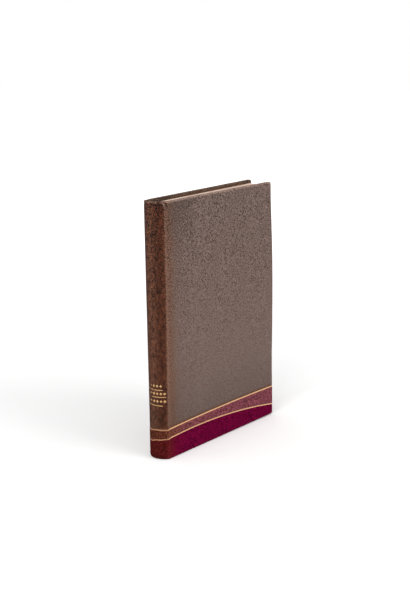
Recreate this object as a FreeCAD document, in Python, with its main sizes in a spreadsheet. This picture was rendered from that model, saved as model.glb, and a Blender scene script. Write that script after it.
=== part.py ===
"""A small leather-bound book standing on its tail, spine towards -X and front board towards -Y.

Two card boards are covered in pared leather that is turned in over their edges. Thin onlays of two
other leathers, edged with gilt fillets, run across the foot of the front board, the spine and the
back board. The text block is rounded and backed, sewn on recessed cords, and carries a headband at
each end. The boards swing about the joint lines, where the covering leather bends.

The row frame has its origin under the middle of the closed book, +Z up. Every size is a cell of
the sheet called size, in millimetres.
"""

import FreeCAD, Part
import math
import os

import Sketcher

SIZES = (
    ("book_height", 190.0, "tail to head, over the leather"),
    ("board_width", 127.0, "joint line to fore-edge, over the leather"),
    ("book_thick", 18.5, "over the leather of both boards"),
    ("round_depth", 5.5, "how far the rounded spine stands out beyond the joint lines"),
    ("splay", 0.85, "degrees that each board stands open at rest, as the leaves are swollen"),
    ("leather", 0.7, "covering leather"),
    ("onlay", 0.25, "pared onlay leather, which stands proud of the covering leather"),
    ("board_thick", 2.2, "card of the boards"),
    ("turnin_thick", 0.4, "leather pared for the turn-ins"),
    ("turnin_width", 14.0, "leather turned in over the board and the spine ends"),
    ("paper", 0.15, "endpaper"),
    ("paste_margin", 3.5, "leather left showing round the pastedown"),
    ("joint_gap", 0.8, "joint line to the board's spine edge"),
    ("air", 0.25, "between a pastedown and its flyleaf when the book is shut"),
    ("square", 2.3, "board beyond the text block at head and tail"),
    ("fore_square", 3.0, "board beyond the text block at the fore-edge"),
    ("fore_hollow", 2.0, "depth of the hollow in the text block's fore-edge"),
    ("ledge_gap", 0.1, "joint line to the ledge of the text block's shoulder"),
    ("edge_round", 0.8, "outer edges of the covered board"),
    ("inner_round", 0.35, "inner edges of the covered board"),
    ("corner_round", 1.3, "fore-edge corners of the covered board"),
    ("back_corner", 1.2, "corners cut off the board beside the headcaps"),
    ("hollow_thick", 0.5, "paper hollow behind the spine leather"),
    ("mull_thick", 0.3, "cloth glued over the sewing"),
    ("headband_width", 1.6, "bead of the sewn headband"),
    ("cap_lip", 2.5, "headcap measured inward from the back of the spine leather"),
    ("cord_width", 1.4, "sewing cord"),
    ("cord_inset", 24.0, "first and last cord from the ends of the text block"),
    ("slip", 0.03, "clearance round a cord in its groove, and under a flyleaf"),
    ("fillet_width", 0.9, "gilt fillet"),
    ("gilt_proud", 0.12, "gilt stamped straight on the covering leather"),
    ("upper_crown_run", 76.0, "joint line to the highest point of the upper fillet"),
    ("upper_crown_rise", 24.5, "highest point of the upper fillet above the tail"),
    ("upper_bend", 2215.0, "radius of the upper fillet"),
    ("lower_crown_run", 33.0, "joint line to the highest point of the lower fillet"),
    ("lower_crown_rise", 17.25, "highest point of the lower fillet above the tail"),
    ("lower_bend", 500.0, "radius of the lower fillet"),
    ("rule_width", 0.8, "gilt rules of the spine panel"),
    ("rule_low", 41.7, "lowest rule above the tail"),
    ("rule_pitch", 5.8, "between the rules"),
    ("rule_short", 13.4, "short rules, straight across the spine"),
    ("rule_long", 17.0, "long rule, straight across the spine"),
    ("stamp_size", 1.1, "half the diagonal of a stamped lozenge"),
    ("stamp_rise", 3.05, "middle of a row of lozenges above its rule"),
)

CORDS = 5
STAMPS_SHORT = 5
STAMPS_LONG = 7
STAMP_STEP_DEG = 15.5

# places worked out from the sizes, as expressions
JOINT = "((size.round_depth - size.board_width) / 2)"
HALF = "(size.book_thick / 2)"
SPINE_R = f"((size.round_depth^2 + {HALF}^2) / (2 * size.round_depth))"
CENTRE_RUN = f"({SPINE_R} - size.round_depth)"
SPINE_X = f"({JOINT} + {CENTRE_RUN})"
COVER = "(size.leather + size.board_thick + size.turnin_thick)"
INNER = f"({HALF} - {COVER})"
LINING_R = f"({SPINE_R} - size.leather - size.turnin_thick)"
MULL_R = f"({LINING_R} - size.hollow_thick)"
BACK_R = f"({MULL_R} - size.mull_thick)"
LEDGE = f"({JOINT} - size.ledge_gap)"
TEXT_HALF = f"({INNER} - 2 * size.paper - size.air)"
REACH_IN = "(size.board_width + size.ledge_gap - size.fore_square)"
TEXT_FORE_HALF = f"({TEXT_HALF} + {REACH_IN} * tan(size.splay))"
PIVOT_Y = f"({HALF} + size.onlay)"
TEXT_FOOT = "(size.onlay + size.square)"
TEXT_HEIGHT = "(size.book_height - size.onlay - 2 * size.square)"
FORE = f"({JOINT} + size.board_width)"
BAND_R = "(size.headband_width / 2)"
CAP = "(size.square - size.headband_width)"
REACH = "(2 * size.board_width)"


def level(name):
    """Height at which the fillet called name leaves the joint line."""
    bend = f"size.{name}_bend"
    return f"(size.{name}_crown_rise - {bend} + sqrt({bend}^2 - size.{name}_crown_run^2))"


UPPER = level("upper")
LOWER = level("lower")

doc = FreeCAD.newDocument("book")
size = doc.addObject("Spreadsheet::Sheet", "size")
for row, (alias, value, note) in enumerate(SIZES, start=1):
    size.set(f"A{row}", alias)
    size.set(f"B{row}", str(value))
    size.setAlias(f"B{row}", alias)
    size.set(f"C{row}", note)
doc.recompute()


def bind(thing, **expressions):
    """Ties properties to expressions; x, y and z are the place of the object."""
    for name, text in expressions.items():
        path = f"Placement.Base.{name}" if name in ("x", "y", "z") else name
        thing.setExpression(path, str(text))
    return thing


def box(label, low, span):
    """An upright block from its lowest corner and its three sides."""
    thing = doc.addObject("Part::Box", label)
    thing.Label = label
    bind(thing, x=low[0], y=low[1], z=low[2], Length=span[0], Width=span[1], Height=span[2])
    return thing


def slab(label, low, high):
    """The whole width of the book between two heights."""
    return box(label, (f"-{REACH}", f"-{REACH}", low), (f"2 * {REACH}", f"2 * {REACH}", f"{high} - {low}"))


def spine_round(label, radius, low, height):
    """A round bar about the centre line of the spine's curve."""
    thing = doc.addObject("Part::Cylinder", label)
    thing.Label = label
    bind(thing, Radius=radius, Height=height, x=SPINE_X, z=low)
    return thing


def fillet_disc(label, name, grow):
    """Everything under one edge of a curved fillet, as a disc through the front board."""
    thing = doc.addObject("Part::Cylinder", label)
    thing.Label = label
    thing.Placement = FreeCAD.Placement(FreeCAD.Vector(), FreeCAD.Rotation(FreeCAD.Vector(1, 0, 0), 90))
    bind(
        thing,
        Radius=f"size.{name}_bend + ({grow}) * size.fillet_width",
        Height="size.book_thick",
        x=f"{JOINT} + size.{name}_crown_run",
        z=f"size.{name}_crown_rise - size.{name}_bend",
    )
    return thing


def ring(label, radius, thickness, height_at, rise):
    """A bead bent round the spine's curve, cut off at the ledges of the shoulders."""
    thing = doc.addObject("Part::Torus", label + "_ring")
    bind(thing, Radius1=radius, Radius2=thickness, x=SPINE_X, z=height_at)
    keep = box(
        label + "_keep",
        (f"{LEDGE} - {REACH}", f"-{REACH}", f"{height_at} - {rise}"),
        (REACH, f"2 * {REACH}", f"2 * ({rise})"),
    )
    return common(label, thing, keep)


def cut(label, base, *tools):
    thing = doc.addObject("Part::Cut", label)
    thing.Label = label
    thing.Base = base
    thing.Tool = tools[0] if len(tools) == 1 else fuse(label + "_tools", *tools)
    return thing


def common(label, base, tool):
    thing = doc.addObject("Part::Common", label)
    thing.Label = label
    thing.Base = base
    thing.Tool = tool
    return thing


def fuse(label, *shapes):
    thing = doc.addObject("Part::MultiFuse", label)
    thing.Label = label
    thing.Shapes = list(shapes)
    return thing


def swing(thing, x="0", y="0", z="0"):
    """Stands a piece of the front cover open by the splay; x, y and z are its place before."""
    along, across = f"({x} - {JOINT})", f"({y} + {PIVOT_Y})"
    bind(
        thing,
        x=f"{JOINT} + {along} * cos(size.splay) + {across} * sin(size.splay)",
        y=f"{across} * cos(size.splay) - {along} * sin(size.splay) - {PIVOT_Y}",
        z=z,
    )
    thing.setExpression("Placement.Rotation.Angle", "-size.splay")
    return thing


def mirror(label, source):
    """The same piece on the other side of the book."""
    thing = doc.addObject("Part::Mirroring", label)
    thing.Label = label
    thing.Source = source
    thing.Normal = FreeCAD.Vector(0, 1, 0)
    return thing


def new_body(label):
    body = doc.addObject("PartDesign::Body", label)
    body.Label = label
    sketch = body.newObject("Sketcher::SketchObject", label + "_plan")
    plane = next(f for f in body.Origin.OriginFeatures if f.Role == "XY_Plane")
    sketch.AttachmentSupport = (plane, "")
    sketch.MapMode = "FlatFace"
    return body, sketch


def datum(sketch, kind, places, text, guess):
    """A named size in a sketch, tied to an expression."""
    index = sketch.addConstraint(Sketcher.Constraint(kind, *places, guess))
    name = f"{kind.lower()}_{index}"
    sketch.renameConstraint(index, name)
    sketch.setExpression(f"Constraints.{name}", text)


def line(sketch, start, end):
    return sketch.addGeometry(Part.LineSegment(FreeCAD.Vector(*start, 0), FreeCAD.Vector(*end, 0)))


def join(sketch, *pairs):
    for first, first_end, second, second_end in pairs:
        sketch.addConstraint(Sketcher.Constraint("Coincident", first, first_end, second, second_end))


def pad(body, sketch, height):
    doc.recompute()
    thing = body.newObject("PartDesign::Pad", body.Label + "_pad")
    thing.Profile = sketch
    thing.setExpression("Length", height)
    doc.recompute()
    return thing


def edge_names(shape, wanted):
    return [f"Edge{i}" for i, edge in enumerate(shape.Edges, start=1) if wanted(edge)]


def dress(body, kind, base, wanted, length):
    """Rounds or chamfers the edges of base that wanted picks."""
    prop = "Radius" if kind == "Fillet" else "Size"
    thing = body.newObject("PartDesign::" + kind, f"{body.Label}_{kind.lower()}")
    thing.Base = (base, edge_names(base.Shape, wanted))
    thing.setExpression(prop, length)
    doc.recompute()
    return thing


def block(label, low, span):
    """A padded rectangle that can take rounded edges."""
    body, sketch = new_body(label)
    guess = (20.0, 10.0)
    bottom = line(sketch, (0, 0), (guess[0], 0))
    right = line(sketch, (guess[0], 0), guess)
    top = line(sketch, guess, (0, guess[1]))
    left = line(sketch, (0, guess[1]), (0, 0))
    join(sketch, (bottom, 2, right, 1), (right, 2, top, 1), (top, 2, left, 1), (left, 2, bottom, 1))
    join(sketch, (bottom, 1, -1, 1))
    for kind, geometry in (("Horizontal", bottom), ("Horizontal", top), ("Vertical", right), ("Vertical", left)):
        sketch.addConstraint(Sketcher.Constraint(kind, geometry))
    datum(sketch, "DistanceX", (bottom, 1, bottom, 2), span[0], guess[0])
    datum(sketch, "DistanceY", (right, 1, right, 2), span[1], guess[1])
    bind(body, x=low[0], y=low[1], z=low[2])
    return body, pad(body, sketch, span[2])


def runs_along(edge, axis):
    """True if a straight edge runs along that axis, 0 to 2."""
    if edge.Curve.TypeId != "Part::GeomLine":
        return False
    return abs(edge.Curve.Direction[axis]) > 0.999


def at(edge, axis, place):
    return abs(edge.CenterOfMass[axis] - place) < 1e-4


def cover_envelope(label, grow):
    """The covered front board as one solid lump, grown by an even skin."""
    low = (JOINT, f"-{HALF} - ({grow})", f"size.onlay - ({grow})")
    span = (
        f"size.board_width + ({grow})",
        f"{COVER} + ({grow})",
        f"size.book_height - size.onlay + 2 * ({grow})",
    )
    body, solid = block(label, low, span)
    bounds = solid.Shape.BoundBox
    backed = dress(
        body, "Chamfer", solid, lambda e: runs_along(e, 1) and at(e, 0, bounds.XMin), "size.back_corner"
    )
    corners = dress(
        body, "Fillet", backed, lambda e: runs_along(e, 1) and at(e, 0, bounds.XMax), f"size.corner_round + ({grow})"
    )
    outer = dress(
        body,
        "Fillet",
        corners,
        lambda e: at(e, 1, bounds.YMin) and not at(e, 0, bounds.XMin),
        f"size.edge_round + ({grow})",
    )
    body.Tip = dress(
        body, "Fillet", outer, lambda e: at(e, 1, bounds.YMax) and not at(e, 0, bounds.XMin), "size.inner_round"
    )
    return body


def rounded_plan(label, radius, chord_x, low, height):
    """A D-shaped bar: the spine's curve closed by a straight side at chord_x from the joint line."""
    body, sketch = new_body(label)
    half, run = 8.0, 4.0
    reach = math.hypot(half, run)
    start = math.atan2(half, -run)
    curve = sketch.addGeometry(
        Part.ArcOfCircle(
            Part.Circle(FreeCAD.Vector(run, 0, 0), FreeCAD.Vector(0, 0, 1), reach), start, 2 * math.pi - start
        )
    )
    chord = line(sketch, (0, -half), (0, half))
    join(sketch, (curve, 2, chord, 1), (chord, 2, curve, 1))
    sketch.addConstraint(Sketcher.Constraint("PointOnObject", chord, 1, -2))
    sketch.addConstraint(Sketcher.Constraint("PointOnObject", chord, 2, -2))
    sketch.addConstraint(Sketcher.Constraint("PointOnObject", curve, 3, -1))
    datum(sketch, "DistanceX", (-1, 1, curve, 3), f"{CENTRE_RUN} - ({chord_x})", run)
    datum(sketch, "Radius", (curve,), radius, reach)
    bind(body, x=f"{JOINT} + ({chord_x})", z=low)
    return body, pad(body, sketch, height)


def spine_envelope(label, grow):
    """The covered spine as one solid lump with rounded headcaps, grown by an even skin."""
    low = f"size.onlay - ({grow})"
    height = f"size.book_height - size.onlay + 2 * ({grow})"
    body, solid = rounded_plan(label, f"{SPINE_R} + ({grow})", "0", low, height)
    body.Tip = dress(
        body, "Fillet", solid, lambda e: e.Curve.TypeId == "Part::GeomCircle", f"size.edge_round + ({grow})"
    )
    return body


def spine_sheet(label, outer, thickness, inset, chord_x="0"):
    """A sheet bent round the spine, inset at head and tail from the ends of the leather."""
    low = f"size.onlay + ({inset})"
    height = f"size.book_height - size.onlay - 2 * ({inset})"
    body, _ = rounded_plan(label + "_outside", outer, chord_x, low, height)
    return cut(label, body, spine_round(label + "_inside", f"{outer} - {thickness}", low, height))


def front_leather(envelope):
    """Covering leather of the front board: outer sheet, three edges and the turn-ins."""
    skin = f"-{HALF} + size.leather"
    inside = f"{COVER} - size.leather"
    cavity = box(
        "front_board_room",
        (JOINT, skin, "size.onlay + size.leather"),
        (
            "size.board_width - size.leather",
            "size.board_thick",
            "size.book_height - size.onlay - 2 * size.leather",
        ),
    )
    window = box(
        "front_turnin_window",
        (JOINT, skin, "size.onlay + size.turnin_width"),
        (
            "size.board_width - size.turnin_width",
            inside,
            "size.book_height - size.onlay - 2 * size.turnin_width",
        ),
    )
    joint = box("front_joint_room", (JOINT, skin, "0"), ("size.joint_gap", inside, "size.book_height"))
    return swing(cut("front_cover_leather", envelope, cavity, window, joint))


def front_card():
    """The card board, with its spine corners cut beside the headcaps."""
    low = (f"{JOINT} + size.joint_gap", f"-{HALF} + size.leather", "size.onlay + size.leather")
    span = (
        "size.board_width - size.joint_gap - size.leather",
        "size.board_thick",
        "size.book_height - size.onlay - 2 * size.leather",
    )
    body, solid = block("front_board", low, span)
    bounds = solid.Shape.BoundBox
    body.Tip = dress(
        body, "Chamfer", solid, lambda e: runs_along(e, 1) and at(e, 0, bounds.XMin), "size.back_corner"
    )
    return swing(body, *low)


def cover_paper(label, low, span):
    return swing(box(label, low, span), *low)


def front_papers():
    """Lining between the turn-ins, and the pastedown over both."""
    lining = cover_paper(
        "front_board_lining",
        (
            f"{JOINT} + size.joint_gap",
            f"-{HALF} + size.leather + size.board_thick",
            "size.onlay + size.turnin_width",
        ),
        (
            "size.board_width - size.joint_gap - size.turnin_width",
            "size.turnin_thick",
            "size.book_height - size.onlay - 2 * size.turnin_width",
        ),
    )
    pastedown = cover_paper(
        "front_pastedown",
        (f"{JOINT} + size.joint_gap", f"-{INNER}", "size.onlay + size.paste_margin"),
        (
            "size.board_width - size.joint_gap - size.paste_margin",
            "size.paper",
            "size.book_height - size.onlay - 2 * size.paste_margin",
        ),
    )
    return lining, pastedown


def front_decoration(skin):
    """Onlays and fillets of the front board, cut from one skin along the curved fillets."""
    edges = {}
    for name in ("upper", "lower"):
        for side, grow in (("top", "0.5"), ("foot", "-0.5")):
            edges[name, side] = fillet_disc(f"front_{name}_{side}", name, grow)
    stripe = {}
    for name in ("upper", "lower"):
        stripe[name] = cut(f"front_{name}_stripe", edges[name, "top"], edges[name, "foot"])
    between = cut("front_between", edges["upper", "foot"], edges["lower", "top"])
    return [
        swing(common("front_crimson_onlay", skin, edges["lower", "foot"])),
        swing(common("front_plum_onlay", skin, between)),
        swing(common("front_lower_fillet", skin, stripe["lower"])),
        swing(common("front_upper_fillet", skin, stripe["upper"])),
    ]


def level_decoration(side, skin):
    """Onlays and fillets that run level across the skin of the spine or of a board."""
    half = "size.fillet_width / 2"
    spans = {
        "crimson_onlay": ("0", f"({LOWER} - {half})"),
        "lower_fillet": (f"({LOWER} - {half})", f"({LOWER} + {half})"),
        "plum_onlay": (f"({LOWER} + {half})", f"({UPPER} - {half})"),
        "upper_fillet": (f"({UPPER} - {half})", f"({UPPER} + {half})"),
    }
    return [
        common(f"{side}_{name}", skin, slab(f"{side}_{name}_level", low, high))
        for name, (low, high) in spans.items()
    ]


def headcapped_leather(envelope):
    """Spine leather: outer sheet, headcaps, and turn-ins behind them."""
    top = "size.book_height"
    deep = f"(size.book_height - size.onlay - 2 * size.turnin_width)"
    inside = spine_round(
        "spine_inside", LINING_R, f"size.onlay + {CAP}", f"{top} - size.onlay - 2 * {CAP}"
    )
    panel = spine_round(
        "spine_panel", f"{SPINE_R} - size.leather", "size.onlay + size.turnin_width", deep
    )
    mouth = spine_round("spine_mouth", f"{SPINE_R} - size.cap_lip", "0", f"{top} + size.onlay")
    return cut("spine_leather", envelope, inside, panel, mouth)


def text_block():
    """Folded and sewn leaves as one solid: rounded back, shoulders, hollow fore-edge, cord grooves."""
    body, sketch = new_body("text_leaves")
    ledge, shoulder, side, length, hollow = 0.0, 7.0, 5.0, 120.0, 2.0
    back_x = 4.5
    back_r = math.hypot(shoulder, back_x)
    back_start = math.atan2(shoulder, -back_x)
    fore_r = (side**2 + hollow**2) / (2 * hollow)
    fore_x = length - hollow + fore_r
    fore_start = math.atan2(side, length - fore_x)
    points = ((ledge, -shoulder), (ledge, -side), (length, -side), (length, side), (ledge, side), (ledge, shoulder))
    front_ledge = line(sketch, points[0], points[1])
    front_side = line(sketch, points[1], points[2])
    back_side = line(sketch, points[3], points[4])
    back_ledge = line(sketch, points[4], points[5])
    normal = FreeCAD.Vector(0, 0, 1)
    back = sketch.addGeometry(
        Part.ArcOfCircle(
            Part.Circle(FreeCAD.Vector(back_x, 0, 0), normal, back_r), back_start, 2 * math.pi - back_start
        )
    )
    fore = sketch.addGeometry(
        Part.ArcOfCircle(
            Part.Circle(FreeCAD.Vector(fore_x, 0, 0), normal, fore_r), fore_start, 2 * math.pi - fore_start
        )
    )
    join(
        sketch,
        (front_ledge, 2, front_side, 1),
        (front_side, 2, fore, 2),
        (fore, 1, back_side, 1),
        (back_side, 2, back_ledge, 1),
        (back_ledge, 2, back, 1),
        (back, 2, front_ledge, 1),
    )
    for geometry, end in ((front_ledge, 1), (front_ledge, 2), (back_ledge, 2)):
        sketch.addConstraint(Sketcher.Constraint("PointOnObject", geometry, end, -2))
    sketch.addConstraint(Sketcher.Constraint("PointOnObject", back, 3, -1))
    sketch.addConstraint(Sketcher.Constraint("Symmetric", front_ledge, 2, back_ledge, 1, -1))
    sketch.addConstraint(Sketcher.Constraint("Symmetric", front_side, 2, back_side, 1, -1))
    datum(sketch, "DistanceY", (front_ledge, 2, back_ledge, 1), f"2 * ({TEXT_HALF} - size.slip)", 2 * side)
    datum(sketch, "DistanceY", (front_side, 2, back_side, 1), f"2 * ({TEXT_FORE_HALF} - size.slip)", 2 * side)
    datum(sketch, "DistanceX", (front_side, 1, front_side, 2), REACH_IN, length)
    datum(sketch, "DistanceX", (-1, 1, back, 3), f"{CENTRE_RUN} + size.ledge_gap", back_x)
    datum(sketch, "Radius", (back,), BACK_R, back_r)
    fore_bend = f"(({TEXT_FORE_HALF} - size.slip)^2 + size.fore_hollow^2) / (2 * size.fore_hollow)"
    datum(sketch, "Radius", (fore,), fore_bend, fore_r)
    bind(body, x=LEDGE, z=TEXT_FOOT)
    pad(body, sketch, TEXT_HEIGHT)
    grooves = [groove_ring(index) for index in range(CORDS)]
    return cut("text_block", body, *grooves)


def cord_height(index):
    """Cords stand at even steps between the two insets."""
    return (
        f"({TEXT_FOOT} + size.cord_inset + "
        f"{index} * ({TEXT_HEIGHT} - 2 * size.cord_inset) / {CORDS - 1})"
    )


def groove_ring(index):
    """The room sawn across the folds for one cord."""
    thing = doc.addObject("Part::Torus", f"groove_{index + 1}")
    bind(
        thing,
        Radius1=f"{BACK_R} - size.cord_width / 2",
        Radius2="size.cord_width / 2 + size.slip",
        x=SPINE_X,
        z=cord_height(index),
    )
    return thing


def sewing_cord(index):
    half = "(size.cord_width / 2)"
    return ring(
        f"sewing_cord_{index + 1}", f"{BACK_R} - {half} - size.slip", half, cord_height(index), "size.cord_width"
    )


def headband(label, middle):
    """Silk bead sewn along the back edge of the text block."""
    return ring(label, f"{BACK_R} - {BAND_R}", BAND_R, middle, "size.headband_width")


def front_flyleaf():
    """Free endpaper, lying on the side of the text block."""
    low = (JOINT, f"-{TEXT_HALF} - size.paper", TEXT_FOOT)
    return cover_paper("front_flyleaf", low, ("size.board_width - size.fore_square", "size.paper", TEXT_HEIGHT))


def gilt_sheet(label):
    """The thin layer on the spine leather that its gilt rules and lozenges are cut from."""
    body, _ = rounded_plan(label + "_outside", f"{SPINE_R} + size.gilt_proud", "0", "0", "size.book_height")
    return cut(label, body, spine_round(label + "_inside", SPINE_R, "0", "size.book_height"))


def spine_rules(sheet):
    """Three gilt rules across the spine, the middle one longer."""
    lengths = ("size.rule_short", "size.rule_long", "size.rule_short")
    strips = []
    for index, length in enumerate(lengths):
        low = f"size.rule_low + {index} * size.rule_pitch - size.rule_width / 2"
        strip = box(
            f"rule_strip_{index + 1}",
            (f"{JOINT} - {REACH}", f"-({length}) / 2", low),
            (REACH, length, "size.rule_width"),
        )
        strips.append(strip)
    return common("spine_gilt_rules", sheet, fuse("rule_strips", *strips))


def spine_stamps(sheet):
    """A row of small gilt lozenges above each rule."""
    stamps = []
    for rule, count in enumerate((STAMPS_LONG, STAMPS_LONG, STAMPS_SHORT)):
        for place in range(count):
            turn = math.radians((place - (count - 1) / 2) * STAMP_STEP_DEG)
            outward = FreeCAD.Vector(-math.cos(turn), math.sin(turn), 0)
            up = FreeCAD.Vector(0, 0, 1)
            thing = doc.addObject("Part::Prism", f"stamp_{rule + 1}_{place + 1}")
            thing.Polygon = 4
            thing.Placement = FreeCAD.Placement(
                FreeCAD.Vector(), FreeCAD.Rotation(up, outward.cross(up), outward, "ZXY")
            )
            middle = f"size.rule_low + {rule} * size.rule_pitch + size.stamp_rise"
            bind(thing, Circumradius="size.stamp_size", Height=f"{SPINE_R} + size.leather", x=SPINE_X, z=middle)
            stamps.append(thing)
    return common("spine_gilt_lozenges", sheet, fuse("stamp_bars", *stamps))


def front_cover():
    envelope = cover_envelope("front_envelope", "0")
    inner_edge = f"({INNER} + size.inner_round)"
    bare = box("front_bare_edge", (JOINT, f"-{inner_edge}", "-size.onlay"), (REACH, inner_edge, "2 * size.book_height"))
    skin = cut("front_skin", cover_envelope("front_envelope_grown", "size.onlay"), envelope, bare)
    pieces = [front_card(), front_leather(envelope), *front_papers()]
    return pieces, front_decoration(skin), skin


def back_cover(front_pieces, front_skin):
    """The front cover's pieces on the other side, but with level onlays and fillets."""
    level_pieces = [swing(piece) for piece in level_decoration("facing", front_skin)]
    return [
        mirror(piece.Label.replace("front", "back").replace("facing", "back"), piece)
        for piece in front_pieces + level_pieces
    ]


def spine():
    envelope = spine_envelope("spine_envelope", "0")
    mouth = spine_round("spine_skin_mouth", f"{SPINE_R} - size.cap_lip", "-size.onlay", "2 * size.book_height")
    skin = cut("spine_skin", spine_envelope("spine_envelope_grown", "size.onlay"), envelope, mouth)
    sheet = gilt_sheet("gilt_sheet")
    lining = f"{SPINE_R} - size.leather"
    return [
        headcapped_leather(envelope),
        spine_sheet("spine_stiffener", lining, "size.turnin_thick", "size.turnin_width"),
        spine_sheet("spine_hollow", LINING_R, "size.hollow_thick", "size.square", "-size.ledge_gap"),
        spine_sheet("spine_mull", MULL_R, "size.mull_thick", "size.square", "-size.ledge_gap"),
        *level_decoration("spine", skin),
        spine_rules(sheet),
        spine_stamps(sheet),
    ]


def text():
    flyleaf = front_flyleaf()
    return [
        text_block(),
        flyleaf,
        mirror("back_flyleaf", flyleaf),
        headband("head_headband", f"({TEXT_FOOT} + {TEXT_HEIGHT} + {BAND_R})"),
        headband("tail_headband", f"({TEXT_FOOT} - {BAND_R})"),
        *[sewing_cord(index) for index in range(CORDS)],
    ]


def check(nodes):
    """Stops if anything in the document failed, or a piece isn't a valid solid."""
    for thing in doc.Objects:
        if "Invalid" in thing.State or "Error" in thing.State:
            raise RuntimeError(f"{thing.Name} failed: {thing.State}")
    for node in nodes:
        shape = node.Shape
        if shape.isNull() or not shape.isValid() or not shape.Solids:
            raise RuntimeError(f"{node.Label} isn't a valid solid")


def main():
    front_pieces, front_finish, front_skin = front_cover()
    nodes = front_pieces + front_finish + back_cover(front_pieces, front_skin) + spine() + text()
    doc.recompute()
    check(nodes)
    os.makedirs("parts", exist_ok=True)
    for node in nodes:
        node.Shape.exportStep(os.path.join("parts", node.Label + ".step"))
        bounds = node.Shape.BoundBox
        print(
            f"{node.Label:24s} solids {len(node.Shape.Solids):2d} volume {node.Shape.Volume:11.2f} "
            f"x {bounds.XMin:8.2f} {bounds.XMax:8.2f} y {bounds.YMin:7.2f} {bounds.YMax:7.2f} "
            f"z {bounds.ZMin:7.2f} {bounds.ZMax:7.2f}"
        )


main()
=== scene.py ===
import math
from collections import namedtuple

import bpy
import numpy as np
from mathutils import Matrix, Vector


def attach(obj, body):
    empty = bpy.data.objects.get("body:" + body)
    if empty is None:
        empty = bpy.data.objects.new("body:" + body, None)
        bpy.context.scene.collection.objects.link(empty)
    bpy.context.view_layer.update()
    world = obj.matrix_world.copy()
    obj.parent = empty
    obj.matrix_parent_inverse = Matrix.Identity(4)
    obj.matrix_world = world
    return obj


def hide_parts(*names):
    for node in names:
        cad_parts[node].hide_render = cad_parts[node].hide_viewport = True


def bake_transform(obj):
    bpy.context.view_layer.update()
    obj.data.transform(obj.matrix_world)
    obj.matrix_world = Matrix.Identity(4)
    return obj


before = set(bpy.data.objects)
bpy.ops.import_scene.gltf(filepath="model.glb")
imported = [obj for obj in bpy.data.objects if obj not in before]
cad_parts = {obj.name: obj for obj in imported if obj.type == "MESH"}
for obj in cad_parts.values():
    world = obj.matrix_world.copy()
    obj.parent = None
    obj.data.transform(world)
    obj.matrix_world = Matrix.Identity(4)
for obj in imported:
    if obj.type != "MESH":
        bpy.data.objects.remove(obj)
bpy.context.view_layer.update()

MM = 0.001  # in metres

# Places and sizes in millimetres, as in the solids, but for the worn fore-edge, which makes WIDTH 0.6 less
JOINT = -60.75
HALF = 9.25
BULGE = 5.5
WIDTH = 126.4
TAIL = 0.25
HEAD = 190.0
PIVOT = 9.5
SPLAY = math.radians(0.85)
DEPTH = 3.3  # of a covered board
CAP_DEPTH = 2.4  # of a headcap
TURNIN = 14.0
SPINE_R = (BULGE**2 + HALF**2) / (2 * BULGE)
SPINE_X = JOINT + SPINE_R - BULGE
ARC = math.asin(HALF / SPINE_R)
ARC_LONG = ARC * SPINE_R
SEAM = -1.6  # where the leather of the boards meets that of the spine
INSET = 2.5  # from the outline to the grid of the open surface
LINE = 0.9  # width of a gilt fillet
RISE = 0.45  # of the head of the spine, and of the worn foot of the fore-edge
ONLAY_LIFT = 0.17
SKIN_THICK = 0.35
PASTE_MARGIN = 3.5
JOINT_GAP = 0.8
LEDGE = JOINT - 0.1
BACK_R = SPINE_R - 1.9
TEXT_HALF = 5.37
TEXT_FORE_HALF = 7.21
TEXT_FORE = 63.25
FORE_HOLLOW = 2.0
TEXT_FOOT = 2.55
TEXT_TOP = 187.7
BAND_R = 0.8
RULE_LOW = 41.7
RULE_PITCH = 5.8
# Length of each rule, the lozenges above it, its height and its slope
RULES = ((13.4, 7, 41.5, -0.025), (17.0, 7, 47.85, 0.02), (13.4, 5, 53.3, -0.01))
STAMP_RISE = 3.05
STAMP_SIZE = 1.1
STAMP_STEP = 15.5

# The camera, worked out from the corners of the book in the photograph
IMAGE_H = 615
CAMERA_AT = Vector((-0.65340, -0.51324, 0.30984))
YAW = math.radians(51.629)
PITCH = math.radians(14.102)
ROLL = math.radians(0.725)
FOCAL_PX = 1130.0
SENSOR = 36.0

WORLD_LIGHT = 0.62


def srgb(red, green, blue):
    """Linear colour from the 0 to 255 values that a screen shows."""
    out = []
    for value in (red, green, blue):
        share = value / 255.0
        out.append(share / 12.92 if share <= 0.04045 else ((share + 0.055) / 1.055) ** 2.4)
    return (*out, 1.0)


def smooth(low, high, value):
    share = np.clip((np.asarray(value, float) - low) / (high - low), 0.0, 1.0)
    return share * share * (3.0 - 2.0 * share)


def bump(middle, reach, value):
    """A soft hill of height 1."""
    return np.exp(-(((np.asarray(value, float) - middle) / reach) ** 2))


# Plan of the covering leather: u runs from the middle of the spine over the joint (0) to the fore-edge

def plan(u):
    """Place of the leather's outer surface on the front half, before the joint is rounded."""
    u = np.asarray(u, float)
    turn = ARC + np.minimum(u, 0.0) / SPINE_R
    out = np.maximum(u, 0.0)
    rise = PIVOT - HALF
    flat_x = JOINT + out * math.cos(SPLAY) + rise * math.sin(SPLAY)
    flat_y = -PIVOT + rise * math.cos(SPLAY) - out * math.sin(SPLAY)
    x = np.where(u < 0.0, SPINE_X - SPINE_R * np.cos(turn), flat_x)
    y = np.where(u < 0.0, -SPINE_R * np.sin(turn), flat_y)
    return np.stack([x, y], axis=-1)


def rounded_plan(u):
    """The same with the corner at the joint rounded over."""
    reach = 0.9
    u = np.asarray(u, float)
    share = np.clip((u + reach) / (2.0 * reach), 0.0, 1.0)[..., None]
    before, corner, after = plan(-reach), plan(0.0), plan(reach)
    bend = (1 - share) ** 2 * before + 2 * share * (1 - share) * corner + share**2 * after
    near = (np.abs(u) < reach)[..., None]
    return np.where(near, bend, plan(u))


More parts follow.
